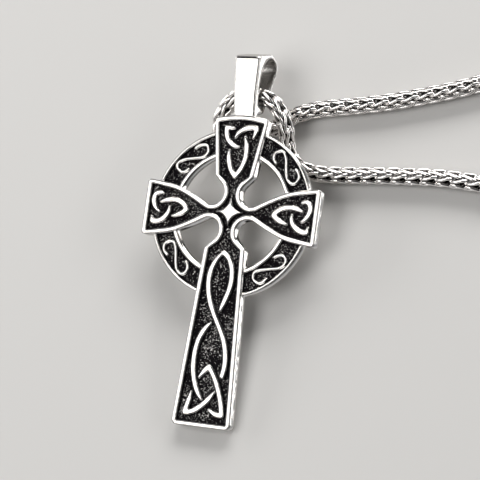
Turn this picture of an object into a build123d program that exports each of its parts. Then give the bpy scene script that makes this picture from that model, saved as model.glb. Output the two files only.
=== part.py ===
from build123d import *
import os
from math import cos, pi, radians, sin, tan

os.makedirs("parts", exist_ok=True)

# Cross, measured in its own plane from its centre, X across and Y towards the bail
arm_reach = 15.7
arm_end_half = 4.8
top_reach = 16.0
top_end_half = 4.86
top_crown = 0.55
foot_reach = 36.0
foot_half = 5.25
thickness = 2.2
corner_round = 0.5
foot_corner_round = 0.9

# Rounded ends of the four openings, next to the hub
lobe_x = 3.55
lobe_y = 3.2
lobe_radius = 2.15
lobe_leave_angle = 60.0
lobe_enter_angle = 135.0

# Curved edge of the side arms: share of their reach, share of their end's half width
side_edge_shares = ((0.81, 0.925), (0.68, 0.85), (0.56, 0.71))

# Shoulders, where the openings' ends meet the straight edges of the top arm and the shaft
top_shoulder_half = 3.42
foot_shoulder_half = 3.62

# Ring behind the arms
ring_outer = 14.35
ring_inner = 10.05
ring_thickness = 1.75
ring_outer_rim = 0.46
ring_inner_rim = 0.65
ring_recess = 0.5

# Raised rims and the blackened ground between them
rim_width = 0.7
recess_depth = 0.6

# Star on the hub
star_reach = 2.35
star_waist_share = 0.44

# Knots and scrolls, raised from the ground
knot_height = 0.5
knot_width = 0.82
knot_end_share = 0.36
knot_taper = 1.5
scroll_height = 0.42
scroll_width = 0.48
top_knot_margin = 1.4
top_knot_length = 8.45
top_knot_half = 2.6
side_knot_margin = 1.3
side_knot_length = 6.45
side_knot_half = 2.4
foot_knot_margin = 2.0
foot_knot_length = 27.1
foot_knot_half = 3.4

# Strokes of the top arm's knot: share outward from its long lobe, share across
top_strokes = (
    (((0.975, -0.38), (0.975, -0.99)),
     ((0.975, -0.99), (0.86, -0.95), (0.74, -0.80), (0.635, -0.46), (0.60, 0.08))),
    (((0.765, -0.33), (0.88, -0.12), (0.975, 0.31), (1.0, 0.77), (0.99, 1.10)),
     ((0.99, 1.10), (0.87, 1.05), (0.765, 0.92))),
    (((0.82, 0.36), (0.61, 0.56), (0.40, 0.59), (0.16, 0.38), (0.0, 0.0)),
     ((0.0, 0.0), (0.17, -0.38), (0.36, -0.57), (0.48, -0.61), (0.54, -0.56))),
)

# Strokes of the side arms' knots, in the same shares
side_strokes = (
    (((0.985, -0.62), (0.955, -1.0)),
     ((0.955, -1.0), (0.76, -0.95), (0.59, -0.65), (0.50, -0.12), (0.505, 0.20))),
    (((0.76, -0.35), (0.93, 0.08), (0.98, 0.52), (0.955, 0.88), (0.855, 1.07), (0.71, 0.95)),),
    (((0.80, 0.36), (0.62, 0.56), (0.40, 0.64), (0.16, 0.43), (0.0, -0.02)),
     ((0.0, -0.02), (0.14, -0.30), (0.27, -0.46), (0.41, -0.55))),
)

# Strokes of the long knot: share down the shaft, share across
shaft_strokes = (
    (((0.0, -0.03), (0.065, -0.43), (0.137, -0.59), (0.21, -0.59), (0.306, -0.38), (0.402, 0.0),
      (0.528, 0.58), (0.60, 0.77), (0.67, 0.85), (0.71, 0.86), (0.765, 0.75)),
     ((0.0, -0.03), (0.065, 0.46), (0.137, 0.59), (0.188, 0.59), (0.247, 0.50), (0.306, 0.35),
      (0.362, 0.20))),
    (((0.435, -0.15), (0.528, -0.66), (0.594, -0.79), (0.66, -0.82), (0.72, -0.79),
      (0.793, -0.65), (0.86, -0.41), (0.91, -0.10)),),
    (((0.78, -0.44), (0.742, -0.23), (0.705, 0.03)),
     ((0.705, 0.03), (0.742, 0.265), (0.786, 0.48), (0.845, 0.70), (0.904, 0.88), (0.988, 1.03)),
     ((0.988, 1.03), (0.987, 0.75), (0.979, 0.53), (0.96, 0.31))),
    (((0.862, -0.71), (0.92, -0.79), (0.992, -0.93)),
     ((0.992, -0.93), (0.985, -0.59), (0.953, -0.18), (0.911, 0.17), (0.867, 0.43), (0.849, 0.52))),
)

# Scroll in each quarter of the ring: degrees from the quarter's middle, share of half the ground
scroll_points = (
    (-7.2, 0.55), (-10.9, 0.68), (-14.8, 0.55), (-17.0, 0.10), (-16.2, -0.45), (-12.1, -0.68),
    (-6.8, -0.48), (0.0, 0.10), (6.8, 0.68), (10.2, 0.68), (12.5, 0.33), (12.4, -0.20),
    (9.7, -0.56), (6.0, -0.64),
)

# Bail, one piece with the top arm
bail_sink = 0.1
bail_height = 12.5
bail_depth = 8.75
bail_lift = 1.2
bail_half_root = 1.85
bail_half_top = 2.4
bail_round = 1.0
bail_edge_round = 0.3

# Bail from the side: share up from its root, share back from its front, share of its round
bail_outline = (
    (0.0, 0.371, 0), (0.0, 0.23, 0), (0.35, 0.10, 5.0), (0.862, 0.0, 0.8), (0.995, 0.60, 2.5),
    (0.935, 0.90, 1.2), (0.80, 0.975, 1.5), (0.168, 0.64, 0.8), (0.096, 0.371, 0),
)
bail_hole = (
    (0.2, 0.309, 1.0), (0.45, 0.20, 3.0), (0.74, 0.20, 3.0), (0.90, 0.42, 2.5),
    (0.945, 0.62, 1.5), (0.895, 0.85, 1.1), (0.80, 0.905, 1.2), (0.24, 0.612, 1.0),
)

# Angle that the cross makes with the surface: its foot lies there, its bail on the chain
lean = 7.0

# Chain and its end loops
chain_diameter = 3.0
end_loop_radius = 1.35
end_loop_wire = 0.6
end_loop_sink = 0.2

# Chosen points of the chain, from the centre of the cross, along the surface and above it
chain_points = (
    (232.0, 31.35, 2.5), (230.0, 42.0, 1.8), (220.0, 55.5, 1.5), (200.0, 66.0, 1.5),
    (172.0, 70.5, 1.5), (140.0, 66.0, 1.5), (103.0, 54.0, 1.5), (66.0, 36.5, 1.5),
    (38.5, 25.8, 1.5), (23.4, 22.0, 1.5), (15.3, 20.8, 1.5), (11.1, 20.3, 1.5),
    (8.3, 19.6, 1.5), (6.1, 18.6, 1.5), (4.0, 17.1, 1.5), (1.6, 15.1, 1.5),
    (-0.4, 12.7, 1.5), (-3.0, 11.9, 1.6), (-5.4, 13.1, 2.1), (-6.3, 15.1, 3.1),
    (-5.9, 17.1, 4.2), (-4.6, 18.9, 5.2), (-2.7, 20.2, 6.2), (0.1, 20.5, 6.3),
    (2.4, 20.3, 6.2), (4.3, 19.3, 5.75), (5.9, 17.3, 4.9), (6.4, 15.5, 3.95),
    (6.35, 13.9, 2.75), (6.6, 12.1, 1.85), (7.6, 10.5, 1.55), (9.6, 9.2, 1.5),
    (12.3, 8.6, 1.5), (16.4, 8.6, 1.5), (24.2, 9.1, 1.5), (38.9, 9.4, 1.5),
    (66.0, 4.0, 1.5), (103.0, -8.0, 1.5), (139.0, -22.5, 1.5), (171.0, -28.0, 1.5),
    (199.5, -24.0, 1.5), (220.5, -13.0, 1.5), (230.2, 0.6, 1.8), (232.0, 10.65, 2.5),
)

# Clasp and rings between the chain's ends
fastening_height = 2.5
ring_wire = 0.7
ring_radius = 1.95
catch_ring_wire = 0.8
catch_ring_radius = 2.1
ring_play = 0.4
clasp_length = 12.5
clasp_half_width = 3.1
clasp_thickness = 2.0
clasp_wall = 1.2
clasp_neck = 1.5
clasp_eye_radius = 0.75
clasp_eye_wall = 0.7
clasp_eye_thickness = 1.0
clasp_edge_round = 0.4

# Planes of the cross: its back, its front and the plane down its middle
tilt = radians(lean)
back = Plane(
    origin=(0, foot_reach * (cos(tilt) - 1), foot_reach * sin(tilt)),
    x_dir=(1, 0, 0),
    z_dir=(0, -sin(tilt), cos(tilt)),
)
middle = Plane(origin=back.origin, x_dir=back.y_dir, z_dir=back.x_dir)
ground = thickness - recess_depth
ring_ground = ring_thickness - ring_recess


def quarter(way, reach, end_half, shoulder_half, inset):
    """The right half of one end of the cross, from the side arm round an opening's end."""
    leave = radians(-lobe_leave_angle)
    enter = radians(lobe_enter_angle)
    halfway = (leave + enter) / 2 - radians(180)
    radius = lobe_radius + inset

    def on_lobe(angle):
        return (lobe_x + radius * cos(angle), way * (lobe_y + radius * sin(angle)))

    side = [
        (along * arm_reach, way * (half * arm_end_half - inset)) for along, half in side_edge_shares
    ]
    slope = shoulder_half - lobe_x - lobe_radius * cos(enter)
    shoulder = (shoulder_half - inset, way * (lobe_y + lobe_radius * sin(enter) + slope))
    side_corner = (arm_reach - inset, way * (arm_end_half - inset))
    end_corner = (end_half - inset, way * (reach - inset))
    with BuildSketch() as plan:
        with BuildLine():
            Spline(
                side_corner,
                *side,
                on_lobe(leave),
                tangents=((-1, -0.06 * way), (sin(leave), -way * cos(leave))),
            )
            ThreePointArc(on_lobe(leave), on_lobe(halfway), on_lobe(enter))
            Polyline(
                on_lobe(enter), shoulder, end_corner, (0, end_corner[1]), (0, 0),
                (side_corner[0], 0), side_corner,
            )
        make_face()
    return plan.sketch


def whole_cross(inset):
    """The cross's plan with sharp corners, drawn in from its edge by the inset."""
    corner = (top_end_half - inset, top_reach - inset)
    with BuildSketch() as plan:
        add(quarter(1, top_reach, top_end_half, top_shoulder_half, inset))
        with BuildLine():
            ThreePointArc(corner, (0, corner[1] + top_crown), (-corner[0], corner[1]))
            Line((-corner[0], corner[1]), corner)
        make_face()
        add(quarter(-1, foot_reach, foot_half, foot_shoulder_half, inset))
        mirror(about=Plane.YZ)
    return plan.sketch


def band(points, narrow_start, narrow_end):
    """A band along a smooth line through the points, narrower where it dives under another."""
    line = Edge.make_spline([Vector(*point) for point in points])
    left = []
    right = []
    for step in range(9):
        along = step / 8
        start_share = along * line.length / knot_taper if narrow_start else 1
        end_share = (1 - along) * line.length / knot_taper if narrow_end else 1
        fullness = min(1, start_share, end_share)
        half = knot_width / 2 * (knot_end_share + (1 - knot_end_share) * fullness)
        outward = (line % along).rotate(Axis.Z, 90) * half
        left.append((line @ along) + outward)
        right.append((line @ along) - outward)
    with BuildSketch() as plan:
        with BuildLine():
            Spline(*left)
            Line(left[-1], right[-1])
            Spline(*right)
            Line(right[0], left[0])
        make_face()
    return plan.sketch


def strands(strokes, place):
    """A knot's strokes, placed from their shares, with a round corner between a stroke's pieces."""
    with BuildSketch() as bands:
        for stroke in strokes:
            for number, piece in enumerate(stroke):
                points = [place(along, across) for along, across in piece]
                add(band(points, number == 0, number == len(stroke) - 1))
                if number:
                    with Locations(points[0]):
                        Circle(knot_width / 2)
    return bands.sketch


def bail_side(outline):
    """The bail's outline or its hole, seen from the side, with its corners rounded."""
    root = top_reach - bail_sink
    front = thickness + bail_lift
    corners = [(root + up * bail_height, front - behind * bail_depth) for up, behind, _ in outline]
    with BuildSketch() as plan:
        with BuildLine():
            FilletPolyline(*corners, radius=[share * bail_round for *_, share in outline], close=True)
        make_face()
    return plan.sketch


def on_top(along, across):
    start = top_reach - top_knot_margin - top_knot_length
    return (across * top_knot_half, start + along * top_knot_length)


def on_right(along, across):
    start = arm_reach - side_knot_margin - side_knot_length
    return (start + along * side_knot_length, across * side_knot_half)


def on_foot(along, across):
    start = foot_reach - foot_knot_margin - foot_knot_length
    return (across * foot_knot_half, -start - along * foot_knot_length)


# Plan of the cross and of the sunken ground inside its rims
with BuildSketch() as cross_plan:
    add(whole_cross(0))
    ends = (
        cross_plan.vertices().group_by(Axis.X)[0]
        + cross_plan.vertices().group_by(Axis.X)[-1]
        + cross_plan.vertices().group_by(Axis.Y)[-1]
    )
    fillet(ends, corner_round)
    fillet(cross_plan.vertices().group_by(Axis.Y)[0], foot_corner_round)

with BuildSketch() as ground_plan:
    add(whole_cross(rim_width))

# Plan of the knots: three lobes in the top arm and the side arms, a long one in the shaft
with BuildSketch() as knot_plan:
    add(strands(side_strokes, on_right))
    mirror(about=Plane.YZ)
    add(strands(top_strokes, on_top))
    add(strands(shaft_strokes, on_foot))

# Plan of the scrolls
band_inner = ring_inner + ring_inner_rim
band_outer = ring_outer - ring_outer_rim
band_middle = (band_inner + band_outer) / 2
band_half = (band_outer - band_inner) / 2
with BuildSketch() as scroll_plan:
    for turn in range(4):
        with BuildLine():
            Spline(*[
                (
                    (band_middle + across * band_half) * cos(radians(135 + turn * 90 + angle)),
                    (band_middle + across * band_half) * sin(radians(135 + turn * 90 + angle)),
                )
                for angle, across in scroll_points
            ])
        trace(line_width=scroll_width)

with BuildPart() as cross_pendant:
    # Bail: a strap bent into a loop that hangs back from the arm, narrow at its root
    bail_root = top_reach - bail_sink
    bail_top = bail_root + bail_height
    with BuildSketch(middle):
        add(bail_side(bail_outline))
        add(bail_side(bail_hole), mode=Mode.SUBTRACT)
    extrude(amount=2 * bail_half_top, both=True)
    with BuildSketch(back):
        Polygon(
            (-bail_half_root, bail_root), (bail_half_root, bail_root),
            (bail_half_top, bail_top), (-bail_half_top, bail_top),
            align=None,
        )
    extrude(amount=bail_depth + thickness, both=True, mode=Mode.INTERSECT)
    left_side = cross_pendant.faces().sort_by(Axis.X)[0]
    right_side = cross_pendant.faces().sort_by(Axis.X)[-1]
    fillet(left_side.outer_wire().edges() + right_side.outer_wire().edges(), bail_edge_round)

    # Cross with its raised rims
    with BuildSketch(back):
        add(cross_plan.sketch)
    extrude(amount=thickness)

    # Ring with a rim along each edge, lower than the arms
    with BuildSketch(back):
        Circle(ring_outer)
        Circle(ring_inner, mode=Mode.SUBTRACT)
    extrude(amount=ring_thickness)
    with BuildSketch(back.offset(ring_ground)):
        Circle(ring_outer - ring_outer_rim)
        Circle(ring_inner + ring_inner_rim, mode=Mode.SUBTRACT)
        add(cross_plan.sketch, mode=Mode.SUBTRACT)
    extrude(amount=thickness, mode=Mode.SUBTRACT)

    # Sunken ground of the arms
    with BuildSketch(back.offset(ground)):
        add(ground_plan.sketch)
    extrude(amount=recess_depth, mode=Mode.SUBTRACT)

    # Star on the hub
    with BuildSketch(back.offset(ground)):
        waist = star_waist_share * star_reach * cos(radians(45))
        with BuildLine():
            ThreePointArc((star_reach, 0), (waist, waist), (0, star_reach))
            ThreePointArc((0, star_reach), (-waist, waist), (-star_reach, 0))
            ThreePointArc((-star_reach, 0), (-waist, -waist), (0, -star_reach))
            ThreePointArc((0, -star_reach), (waist, -waist), (star_reach, 0))
        make_face()
    extrude(amount=recess_depth)

    # Knots and scrolls
    with BuildSketch(back.offset(ground)):
        add(knot_plan.sketch)
    extrude(amount=knot_height)
    with BuildSketch(back.offset(ring_ground)):
        add(scroll_plan.sketch)
    extrude(amount=scroll_height)

# Chain, drawn as a round rod of its real thickness, with a loop at each end
radii = []
for before, corner, after in zip(chain_points, chain_points[1:], chain_points[2:]):
    arriving = Vector(*corner) - Vector(*before)
    leaving = Vector(*after) - Vector(*corner)
    half_turn = radians(arriving.get_angle(leaving) / 2)
    radii.append(0.45 * min(arriving.length, leaving.length) / tan(half_turn))
print("chain radii", [round(radius, 1) for radius in radii])

with BuildPart() as chain:
    with BuildLine() as chain_route:
        FilletPolyline(*chain_points, radius=radii)
    route = chain_route.wire()
    with BuildSketch(Plane(origin=route @ 0, z_dir=route % 0)):
        Circle(chain_diameter / 2)
    sweep(path=route)
    print("chain length", round(route.length, 1))
    print("rod volume", round(chain.part.volume, 2), "section times length",
          round(pi * (chain_diameter / 2) ** 2 * route.length, 2))
    fastening_x = chain_points[0][0]
    start_y = chain_points[0][1]
    finish_y = chain_points[-1][1]
    loop_reach = end_loop_radius + end_loop_wire / 2 - end_loop_sink
    with Locations(
        (fastening_x, start_y - loop_reach, fastening_height),
        (fastening_x, finish_y + loop_reach, fastening_height),
    ):
        Torus(end_loop_radius, end_loop_wire / 2)

# Ring between the chain and the clasp, standing in both holes
ring_near = start_y - loop_reach - ring_play
ring_centre = ring_near - ring_radius
ring_far = ring_centre - ring_radius
with BuildPart(Plane(origin=(fastening_x, ring_centre, fastening_height), z_dir=(1, 0, 0))) as clasp_ring:
    Torus(ring_radius, ring_wire / 2)

# Clasp: a pear-shaped hook with an eye
eye_end = ring_far + clasp_eye_radius + clasp_eye_wall
hook_end = eye_end - clasp_length
hook_centre = hook_end + clasp_half_width
with BuildPart() as clasp:
    with BuildSketch(Plane.XY.offset(fastening_height)):
        with Locations((fastening_x, hook_centre)):
            Circle(clasp_half_width)
        with Locations((fastening_x, ring_far - clasp_eye_radius - clasp_neck)):
            Circle(clasp_neck)
        make_hull()
    extrude(amount=clasp_thickness / 2, both=True)
    fillet(clasp.edges(), clasp_edge_round)
    with BuildSketch(Plane.XY.offset(fastening_height)):
        with Locations((fastening_x, ring_far)):
            Circle(clasp_eye_radius + clasp_eye_wall)
    extrude(amount=clasp_eye_thickness / 2, both=True)
    with BuildSketch(Plane.XY.offset(fastening_height)):
        with Locations((fastening_x, ring_far)):
            Circle(clasp_eye_radius)
    extrude(amount=clasp_thickness, both=True, mode=Mode.SUBTRACT)
    with BuildSketch(Plane.XY.offset(fastening_height)):
        with Locations((fastening_x, hook_centre)):
            Circle(clasp_half_width - clasp_wall)
        with Locations((fastening_x, hook_centre + clasp_half_width)):
            Circle((clasp_half_width - clasp_wall) / 2)
        make_hull()
    extrude(amount=clasp_thickness, both=True, mode=Mode.SUBTRACT)

# Ring that the clasp catches, at the chain's other end
catch_far = finish_y + loop_reach + ring_play
catch_centre = catch_far + catch_ring_radius
with BuildPart(Plane(origin=(fastening_x, catch_centre, fastening_height), z_dir=(1, 0, 0))) as catch_ring:
    Torus(catch_ring_radius, catch_ring_wire / 2)

cross_pendant.part.label = "cross_pendant"
chain.part.label = "chain"
clasp_ring.part.label = "clasp_ring"
clasp.part.label = "clasp"
catch_ring.part.label = "catch_ring"

# The origin is under the middle of the whole necklace, on the surface that it lies on
pieces = [cross_pendant.part, chain.part, clasp_ring.part, clasp.part, catch_ring.part]
box = Compound(pieces).bounding_box()
to_origin = Location((-box.center().X, -box.center().Y, 0))
print("box", box.min, box.max)
for piece in pieces:
    placed = piece.moved(to_origin)
    placed.label = piece.label
    export_step(placed, f"parts/{piece.label}.step")
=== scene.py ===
import math

import bpy
import numpy as np
from mathutils import Matrix, Vector


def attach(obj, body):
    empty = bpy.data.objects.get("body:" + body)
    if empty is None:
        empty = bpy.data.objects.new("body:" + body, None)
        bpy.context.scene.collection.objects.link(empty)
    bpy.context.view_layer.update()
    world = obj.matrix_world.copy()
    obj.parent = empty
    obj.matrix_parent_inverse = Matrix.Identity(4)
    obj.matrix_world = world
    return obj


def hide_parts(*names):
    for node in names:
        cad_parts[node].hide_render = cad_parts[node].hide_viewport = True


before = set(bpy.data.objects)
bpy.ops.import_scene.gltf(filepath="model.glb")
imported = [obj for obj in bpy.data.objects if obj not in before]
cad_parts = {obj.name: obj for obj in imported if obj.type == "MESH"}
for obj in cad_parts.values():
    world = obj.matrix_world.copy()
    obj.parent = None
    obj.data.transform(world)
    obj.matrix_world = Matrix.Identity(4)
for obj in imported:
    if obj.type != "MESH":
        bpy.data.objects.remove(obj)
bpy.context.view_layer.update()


# The cross pendant: cross, ring, rims, knots, scrolls, star and bail, cast in stainless steel and
# soldered into one piece. All that is raised is polished, and the sunken ground is blackened.

MM = 0.001


def linear(hex_colour):
    """sRGB hex to the linear colour that a shader takes."""
    channels = [int(hex_colour[i:i + 2], 16) / 255 for i in (1, 3, 5)]
    return [c / 12.92 if c <= 0.04045 else ((c + 0.055) / 1.055) ** 2.4 for c in channels] + [1.0]


def node(tree, kind, inputs=None, **settings):
    """Adds one node with its settings, then links or sets each input that is named."""
    new = tree.nodes.new(kind)
    for name, value in settings.items():
        setattr(new, name, value)
    for name, value in (inputs or {}).items():
        if isinstance(value, bpy.types.NodeSocket):
            tree.links.new(value, new.inputs[name])
        else:
            new.inputs[name].default_value = value
    return new


def new_material(name):
    """An empty material, with its node tree."""
    material = bpy.data.materials.new(name)
    material.use_nodes = True
    material.node_tree.nodes.clear()
    return material, material.node_tree


# The cross leans on the chain, turned about its foot. The grounds' heights are above its flat
# back, and what lies further up the cross than BAIL_FROM is the bail
LEAN = math.radians(7.0)
ACROSS_BACK = Vector((0, -math.sin(LEAN), math.cos(LEAN)))
ALONG_BACK = Vector((0, math.cos(LEAN), math.sin(LEAN)))
SHIFT = Vector((109.7, 17.39005, 0)) * MM
FOOT_REACH = 36.0 * MM
BACK = Vector((0, FOOT_REACH * (math.cos(LEAN) - 1), FOOT_REACH * math.sin(LEAN))) - SHIFT
ARM_GROUND = 1.6 * MM
RING_GROUND = 1.25 * MM
BAIL_FROM = 16.6 * MM
BAIL_MIDDLE = Vector((0, 24.0, -0.9)) * MM
WELD = 0.0005 * MM
SMOOTH_ANGLE = math.radians(30)

bpy.ops.object.select_all(action="DESELECT")
cad_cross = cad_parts["cross_pendant"]
cross = cad_cross.copy()
cross.data = cad_cross.data.copy()
cross.name = "cross"
bpy.context.collection.objects.link(cross)
cross.parent = None
cross.matrix_world = Matrix.Identity(4)
bpy.context.view_layer.objects.active = cross
cross.select_set(True)
bpy.ops.object.mode_set(mode="EDIT")
bpy.ops.mesh.select_all(action="SELECT")
bpy.ops.mesh.remove_doubles(threshold=WELD)
bpy.ops.object.mode_set(mode="OBJECT")
bpy.ops.mesh.customdata_custom_splitnormals_clear()
bpy.ops.object.shade_smooth_by_angle(angle=SMOOTH_ANGLE)

# How clean each spot is: 0 on the sunken ground, 1 on all that the polishing wheel reaches, and
# between the two inside the bail's loop, which is coloured partly dark. A face counts as turned
# along a direction when more than SIDEWAYS of its normal's length lies along it
INSIDE_BAIL = 0.62
BLACKENED_RISE = 0.2 * MM
SAME_HEIGHT = 0.02 * MM
SIDEWAYS = 0.3

places = np.empty(len(cross.data.vertices) * 3)
cross.data.vertices.foreach_get("co", places)
places = places.reshape(-1, 3) - np.array(BACK)
height = places @ np.array(ACROSS_BACK)
up_arm = places @ np.array(ALONG_BACK)
clean = cross.data.attributes.new("clean", "FLOAT", "CORNER")
values = np.ones(len(cross.data.loops))
for face in cross.data.polygons:
    is_wall = abs(face.normal.dot(ACROSS_BACK)) < SIDEWAYS
    heights = height[list(face.vertices)]
    is_flat = np.ptp(heights) < SAME_HEIGHT
    middle = Vector((0, up_arm[list(face.vertices)].mean(), heights.mean()))
    if middle.y > BAIL_FROM:
        inward = BAIL_MIDDLE - middle
        turned_in = inward.y * face.normal.dot(ALONG_BACK) + inward.z * face.normal.dot(ACROSS_BACK)
        if turned_in > SIDEWAYS * inward.length and abs(face.normal.x) < SIDEWAYS:
            for corner in face.loop_indices:
                values[corner] = INSIDE_BAIL
        continue
    for ground in (ARM_GROUND, RING_GROUND):
        if abs(heights.min() - ground) < SAME_HEIGHT and (is_flat or is_wall):
            for corner, corner_height in zip(face.loop_indices, heights):
                values[corner] = min(1.0, (corner_height - ground) / BLACKENED_RISE)
clean.data.foreach_set("value", values)

# Stainless steel, mirror polished by wheel, which rubs the edges of rims and knots round, so that
# each mirrors a thin dark line beside the white, and the cast walls slope outwards. The ground is
# cast with a 0.25 mm grit and blackened, and bare steel glints on the tips of its grains.
polish, tree = new_material("polished_and_blackened_steel")
where = node(tree, "ShaderNodeTexCoord").outputs["Object"]
polish_and_painted_shade = node(tree, "ShaderNodeAttribute", attribute_name="clean").outputs["Fac"]

# The ground: tips of grains are bare, more so in worn patches, and fewer near rims and knots, where
# ambient occlusion paints shade into the corners, which are also less worn
GRIT = 0.25 * MM
GRIT_DEPTH = 0.12 * MM
WORN_PATCH = 3.0 * MM
SHELTER_REACH = 0.8 * MM
grit = node(tree, "ShaderNodeTexNoise", {"Vector": where, "Scale": 1 / GRIT, "Detail": 2.0})
worn = node(tree, "ShaderNodeTexNoise", {"Vector": where, "Scale": 1 / WORN_PATCH, "Detail": 1.0})
bare_from = node(tree, "ShaderNodeMapRange", {
    "Value": worn.outputs["Fac"],
    "From Min": 0.35, "From Max": 0.65, "To Min": 0.64, "To Max": 0.52})
tips = node(tree, "ShaderNodeMapRange", {
    "Value": grit.outputs["Fac"],
    "From Min": bare_from.outputs[0], "From Max": 0.72, "To Max": 0.9})
# Painted shade: ambient occlusion thins the bare tips in the corners by rims and knots
open_sky = node(tree, "ShaderNodeAmbientOcclusion", {"Distance": SHELTER_REACH}, samples=8)
shelter_and_painted_shade = node(tree, "ShaderNodeMapRange", {
    "Value": open_sky.outputs["AO"], "From Min": 0.55, "From Max": 0.95})
worn_and_shaded_tips = node(tree, "ShaderNodeMath", {
    0: tips.outputs[0], 1: shelter_and_painted_shade.outputs[0]}, operation="MULTIPLY")
polished = node(tree, "ShaderNodeMapRange", {
    "Value": polish_and_painted_shade, "From Min": 0.3, "From Max": 0.85}, interpolation_type="SMOOTHSTEP")
bare = node(tree, "ShaderNodeMath", {
    0: polished.outputs[0], 1: worn_and_shaded_tips.outputs[0]}, operation="MAXIMUM")
colour = node(tree, "ShaderNodeMix", {
    "Factor": bare.outputs[0], "A": linear("#131113"), "B": linear("#cdcac6")}, data_type="RGBA")
rough = node(tree, "ShaderNodeMapRange", {"Value": bare.outputs[0], "To Min": 0.5, "To Max": 0.1})
grained = node(tree, "ShaderNodeMapRange", {
    "Value": polished.outputs[0], "To Min": 1.0, "To Max": 0.0})

# The polished faces are rolled at their edges, and the walls slope, but for the bail's inside. The
# rounding is drawn wider than the real one, so that its lines show. Polishing by hand leaves a
# faint wave
EDGE_ROUND = 0.38 * MM
EDGE_ROLL = 1.0
WALL_ROUND = 1.0 * MM
WALL_SLOPE = 0.9
HAND_WAVE = 1.4 * MM
HAND_DEPTH = 0.03 * MM
rounded = node(tree, "ShaderNodeBevel", {"Radius": EDGE_ROUND}, samples=12)
flat_normal = node(tree, "ShaderNodeNewGeometry").outputs["Normal"]
turned = node(tree, "ShaderNodeVectorMath", {
    0: rounded.outputs["Normal"], 1: flat_normal}, operation="SUBTRACT")
rolled = node(tree, "ShaderNodeVectorMath", {
    0: turned.outputs[0], 1: (EDGE_ROLL,) * 3, 2: rounded.outputs["Normal"]},
    operation="MULTIPLY_ADD")
pillowed = node(tree, "ShaderNodeBevel", {"Radius": WALL_ROUND}, samples=12)
sloped = node(tree, "ShaderNodeVectorMath", {
    0: pillowed.outputs["Normal"], 1: ACROSS_BACK * WALL_SLOPE}, operation="ADD")
facing = node(tree, "ShaderNodeVectorMath", {
    0: flat_normal, 1: ACROSS_BACK}, operation="DOT_PRODUCT")
along_back = node(tree, "ShaderNodeMath", {0: facing.outputs["Value"]}, operation="ABSOLUTE")
on_top = node(tree, "ShaderNodeMapRange", {
    "Value": along_back.outputs[0], "From Min": 0.1, "From Max": 0.5})
inside = node(tree, "ShaderNodeMath", {0: polish_and_painted_shade, 1: INSIDE_BAIL, 2: 0.01}, operation="COMPARE")
unsloped = node(tree, "ShaderNodeMath", {
    0: on_top.outputs[0], 1: inside.outputs[0]}, operation="MAXIMUM")
leant = node(tree, "ShaderNodeMix", {
    "Factor": unsloped.outputs[0], "A": sloped.outputs[0], "B": rolled.outputs[0]},
    data_type="VECTOR")
drafted = node(tree, "ShaderNodeVectorMath", {0: leant.outputs["Result"]}, operation="NORMALIZE")
hand = node(tree, "ShaderNodeTexNoise", {"Vector": where, "Scale": 1 / HAND_WAVE, "Detail": 1.0})
hand_polished = node(tree, "ShaderNodeBump", {
    "Strength": 1.0, "Distance": HAND_DEPTH, "Height": hand.outputs["Fac"],
    "Normal": drafted.outputs[0]})
surface = node(tree, "ShaderNodeBump", {
    "Strength": grained.outputs[0], "Distance": GRIT_DEPTH, "Height": grit.outputs["Fac"],
    "Normal": hand_polished.outputs["Normal"]})
steel = node(tree, "ShaderNodeBsdfPrincipled", {
    "Base Color": colour.outputs["Result"], "Metallic": 1.0, "Roughness": rough.outputs[0],
    "Normal": surface.outputs["Normal"]})
node(tree, "ShaderNodeOutputMaterial", {"Surface": steel.outputs["BSDF"]})
cross.data.materials.clear()
cross.data.materials.append(polish)
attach(cross, "root")
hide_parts("cross_pendant")


# The chain: a 3 mm wheat chain of stainless steel wire, threaded through the bail. Each folded
# link hooks through the one before it, in two rows that cross, so one link is repeated along the
# whole route. Its ends are pressed into caps with soldered end rings.

# Both lists of points are in millimetres, as LINK_INSET is. A link's points lie across, across and
# along the route, moved on by LINK_INSET. The route is LINK_OVERHANG pitches longer than the
# number of links, which is the room for the rest of the last link
CHAIN_POINTS = (
    (232.0, 31.35, 2.5), (230.0, 42.0, 1.8), (220.0, 55.5, 1.5), (200.0, 66.0, 1.5),
    (172.0, 70.5, 1.5), (140.0, 66.0, 1.5), (103.0, 54.0, 1.5), (66.0, 36.5, 1.5),
    (38.5, 25.8, 1.5), (23.4, 22.0, 1.5), (15.3, 20.8, 1.5), (11.1, 20.3, 1.5),
    (8.3, 19.6, 1.5), (6.1, 18.6, 1.5), (4.0, 17.1, 1.5), (1.6, 15.1, 1.5),
    (-0.4, 12.7, 1.5), (-3.0, 11.9, 1.6), (-5.4, 13.1, 2.1), (-6.3, 15.1, 3.1),
    (-5.9, 17.1, 4.2), (-4.6, 18.9, 5.2), (-2.7, 20.2, 6.2), (0.1, 20.5, 6.3),
    (2.4, 20.3, 6.2), (4.3, 19.3, 5.75), (5.9, 17.3, 4.9), (6.4, 15.5, 3.95),
    (6.35, 13.9, 2.75), (6.6, 12.1, 1.85), (7.6, 10.5, 1.55), (9.6, 9.2, 1.5),
    (12.3, 8.6, 1.5), (16.4, 8.6, 1.5), (24.2, 9.1, 1.5), (38.9, 9.4, 1.5),
    (66.0, 4.0, 1.5), (103.0, -8.0, 1.5), (139.0, -22.5, 1.5), (171.0, -28.0, 1.5),
    (199.5, -24.0, 1.5), (220.5, -13.0, 1.5), (230.2, 0.6, 1.8), (232.0, 10.65, 2.5),
)
LINK_WIRE = 0.56 * MM
LINK_PITCH = 2.56 * MM
LINK_INSET = 0.5
LINK_OVERHANG = 1.2
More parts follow.
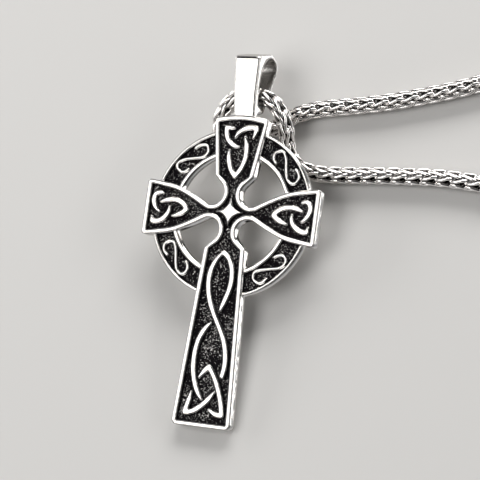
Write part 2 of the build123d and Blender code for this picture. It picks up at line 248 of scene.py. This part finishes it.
LINK_POINTS = (
    (0.59, 0.0, 3.32), (0.71, 0.58, 3.21), (1.14, 0.35, 1.16), (0.98, 0.27, 0.19),
    (0.45, 0.21, 0.26), (-0.45, -0.21, 0.27), (-0.98, -0.27, 0.29), (-1.14, -0.35, 1.21),
    (-0.71, -0.58, 3.21), (-0.59, 0.0, 3.32), (-0.71, 0.58, 3.21), (-1.14, 0.35, 1.16),
    (-0.98, 0.27, 0.19), (-0.45, 0.21, -0.18), (0.45, -0.21, -0.18), (0.98, -0.27, 0.19),
    (1.14, -0.35, 1.16), (0.71, -0.58, 3.21),
)

# The route that the chain lies along, drawn from the same points as the rod of the solid part
route_curve = bpy.data.curves.new("chain_route", "CURVE")
route_curve.dimensions = "3D"
route_curve.twist_mode = "MINIMUM"
route_curve.resolution_u = 24
route_line = route_curve.splines.new("NURBS")
route_line.points.add(len(CHAIN_POINTS) - 1)
for point, place in zip(route_line.points, CHAIN_POINTS):
    point.co = (*(Vector(place) * MM - SHIFT), 1)
route_line.order_u = 3
route_line.use_endpoint_u = True
route = bpy.data.objects.new("chain_route", route_curve)
bpy.context.collection.objects.link(route)
route_mesh = bpy.data.meshes.new_from_object(route)
route_places = np.array([vertex.co[:] for vertex in route_mesh.vertices])
route_length = np.linalg.norm(np.diff(route_places, axis=0), axis=1).sum()

# One folded link of six-sided wire, and the one that crosses it half a pitch further on
link_curve = bpy.data.curves.new("link_line", "CURVE")
link_curve.dimensions = "3D"
link_curve.resolution_u = 2
link_curve.bevel_depth = LINK_WIRE / 2
link_curve.bevel_resolution = 1
for crosses in (False, True):
    link_line = link_curve.splines.new("BEZIER")
    link_line.bezier_points.add(len(LINK_POINTS) - 1)
    for point, (x, y, along) in zip(link_line.bezier_points, LINK_POINTS):
        if crosses:
            x, y, along = -y, x, along + LINK_PITCH / MM / 2
        point.co = Vector((along + LINK_INSET, x, y)) * MM
        point.handle_left_type = "AUTO"
        point.handle_right_type = "AUTO"
    link_line.use_cyclic_u = True
link = bpy.data.objects.new("link_line", link_curve)
bpy.context.collection.objects.link(link)
bpy.context.view_layer.update()
evaluated = link.evaluated_get(bpy.context.evaluated_depsgraph_get())
chain = bpy.data.objects.new("wheat_chain", bpy.data.meshes.new_from_object(evaluated))
bpy.context.collection.objects.link(chain)

# The pair is repeated at its pitch, and the row is bent along the route
links = int(route_length / LINK_PITCH - LINK_OVERHANG)
repeat = chain.modifiers.new("repeat", "ARRAY")
repeat.count = links
repeat.use_relative_offset = False
repeat.use_constant_offset = True
repeat.constant_offset_displace = (route_length / (links + LINK_OVERHANG), 0, 0)
bend = chain.modifiers.new("bend", "CURVE")
bend.object = route
bend.deform_axis = "POS_X"
bpy.ops.object.select_all(action="DESELECT")
bpy.context.view_layer.objects.active = chain
chain.select_set(True)
bpy.ops.object.modifier_apply(modifier="repeat")
bpy.ops.object.modifier_apply(modifier="bend")
bpy.ops.object.shade_smooth()
bpy.data.objects.remove(link)
bpy.data.objects.remove(route)

# Each end of the chain is pressed into a plain cap, and a ring of wire is soldered to the cap
CAP_RADIUS = 1.5 * MM
CAP_LENGTH = 2.4 * MM
CAP_ROUND = 0.3 * MM
END_RING = 1.35 * MM
END_WIRE = 0.6 * MM
END_HEIGHT = 2.5 * MM
END_GAP = 0.1 * MM
CAP_ANGLE = math.radians(70)
ends = [chain]
for place, inner_place, ring_side in (
    (CHAIN_POINTS[0], CHAIN_POINTS[1], -1), (CHAIN_POINTS[-1], CHAIN_POINTS[-2], 1),
):
    chain_end = Vector(place) * MM - SHIFT
    along = (Vector(inner_place) - Vector(place)).normalized()
    bpy.ops.object.select_all(action="DESELECT")
    bpy.ops.mesh.primitive_cylinder_add(
        vertices=24, radius=CAP_RADIUS, depth=CAP_LENGTH,
        location=chain_end + along * CAP_LENGTH / 2,
        rotation=along.to_track_quat("Z", "Y").to_euler())
    cap = bpy.context.object
    bevel = cap.modifiers.new("round", "BEVEL")
    bevel.width = CAP_ROUND
    bevel.segments = 2
    bpy.ops.object.modifier_apply(modifier="round")
    bpy.ops.object.transform_apply()
    ends.append(cap)
    ring_middle = chain_end.y + ring_side * (END_RING + END_GAP)
    bpy.ops.mesh.primitive_torus_add(
        major_radius=END_RING, minor_radius=END_WIRE / 2, major_segments=28, minor_segments=10,
        location=(chain_end.x, ring_middle, END_HEIGHT))
    bpy.ops.object.transform_apply()
    ends.append(bpy.context.object)
bpy.ops.object.select_all(action="DESELECT")
for piece in ends:
    piece.select_set(True)
bpy.context.view_layer.objects.active = chain
bpy.ops.object.join()
bpy.ops.object.shade_smooth_by_angle(angle=CAP_ANGLE)

# Stainless steel wire, drawn bright and tumbled after linking: it catches each lamp as a soft white
# line along the wire, and painted shade darkens the gaps between the links to brown.
GAP_REACH = 0.9 * MM
wire, tree = new_material("chain_steel")
# Painted shade: ambient occlusion darkens the colour to dark brown in the gaps between links
open_sky = node(tree, "ShaderNodeAmbientOcclusion", {"Distance": GAP_REACH}, samples=8)
polish_and_painted_shade = node(tree, "ShaderNodeMapRange", {
    "Value": open_sky.outputs["AO"], "From Min": 0.25, "From Max": 0.6})
colour = node(tree, "ShaderNodeMix", {
    "Factor": polish_and_painted_shade.outputs[0], "A": linear("#16100e"), "B": linear("#f6f2ef")},
    data_type="RGBA")
steel = node(tree, "ShaderNodeBsdfPrincipled", {
    "Base Color": colour.outputs["Result"], "Metallic": 1.0, "Roughness": 0.2})
node(tree, "ShaderNodeOutputMaterial", {"Surface": steel.outputs["BSDF"]})
chain.data.materials.append(wire)
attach(chain, "root")
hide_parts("chain")


# The fittings: the clasp on its ring, and the catch ring on the chain's other end that it hooks.
# They are plain stainless steel, stamped or bent from wire, and soldered shut.

# Stainless steel, tumbled with steel balls: an even soft mirror with no brushing.
plain, tree = new_material("tumbled_steel")
steel = node(tree, "ShaderNodeBsdfPrincipled", {
    "Base Color": linear("#d3d0cc"), "Metallic": 1.0, "Roughness": 0.2})
node(tree, "ShaderNodeOutputMaterial", {"Surface": steel.outputs["BSDF"]})
for name in ("clasp_ring", "clasp", "catch_ring"):
    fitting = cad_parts[name]
    fitting.data.materials.clear()
    fitting.data.materials.append(plain)


# The studio: a pale matt floor under a pale horizon, soft lamps and the photo's viewpoint. The
# first lamp stands where the flat faces mirror it, and the sky overhead is dark.

# Matt pale grey board, which shows only soft shadows
FLOOR_SIZE = 2.4
bpy.ops.object.select_all(action="DESELECT")
bpy.ops.mesh.primitive_plane_add(size=FLOOR_SIZE)
floor = bpy.context.object
floor.name = "floor"
pale, tree = new_material("pale_floor")
matt = node(tree, "ShaderNodeBsdfPrincipled", {"Base Color": linear("#cfcdca"), "Roughness": 0.9})
node(tree, "ShaderNodeOutputMaterial", {"Surface": matt.outputs["BSDF"]})
floor.data.materials.append(pale)

# The sky's glow falls off from the horizon upwards
world = bpy.data.worlds.new("studio")
bpy.context.scene.world = world
world.use_nodes = True
tree = world.node_tree
sky = node(tree, "ShaderNodeTexCoord").outputs["Generated"]
upwards = node(tree, "ShaderNodeSeparateXYZ", {"Vector": sky}).outputs["Z"]
glow = node(tree, "ShaderNodeMapRange", {
    "Value": upwards, "From Min": 0.05, "From Max": 0.55, "To Min": 0.9, "To Max": 0.04},
    interpolation_type="SMOOTHSTEP")
background = tree.nodes["Background"]
background.inputs["Color"].default_value = linear("#dfe1e4")
tree.links.new(glow.outputs[0], background.inputs["Strength"])

LIT_PLACE = Vector((-0.11, -0.02, 0))


def soft_light(name, direction, distance, width, depth, power):
    """A rectangular lamp that faces the pendant, its depth running along the cross."""
    lamp = bpy.data.lights.new(name, "AREA")
    lamp.shape = "RECTANGLE"
    lamp.size = width
    lamp.size_y = depth
    lamp.energy = power
    light = bpy.data.objects.new(name, lamp)
    bpy.context.collection.objects.link(light)
    out = Vector(direction).normalized()
    wide = Vector((0, 1, 0)).cross(out).normalized()
    light.matrix_world = Matrix.Translation(LIT_PLACE + out * distance) @ Matrix(
        (wide, out.cross(wide), out)).transposed().to_4x4()


soft_light("mirror_light", (-0.39, -0.2, 0.92), distance=0.8, width=0.42, depth=0.66, power=3.2)
soft_light("left_light", (-0.9, 0.2, 0.35), distance=0.9, width=0.25, depth=0.8, power=2.5)
soft_light("right_light", (0.9, 0.24, 0.4), distance=0.9, width=0.2, depth=0.8, power=2)
soft_light("back_light", (0.1, 0.9, 0.5), distance=1.0, width=0.8, depth=0.4, power=9)

CAMERA_RIGHT = Vector((0.9167, 0.1794, -0.3569))
CAMERA_UP = Vector((-0.0744, 0.9545, 0.2887))
CAMERA_BACK = Vector((0.3925, -0.2381, 0.8884))
CAMERA_PLACE = Vector((106.81, -68.26, 241.76)) * MM - SHIFT
camera = bpy.data.objects.new("camera", bpy.data.cameras.new("camera"))
bpy.context.collection.objects.link(camera)
camera.data.lens = 120
camera.data.sensor_width = 36
camera.data.clip_start = 0.01
camera.matrix_world = Matrix.Translation(CAMERA_PLACE) @ Matrix(
    (CAMERA_RIGHT, CAMERA_UP, CAMERA_BACK)).transposed().to_4x4()
bpy.context.scene.camera = camera
bpy.context.scene.view_settings.view_transform = "Standard"
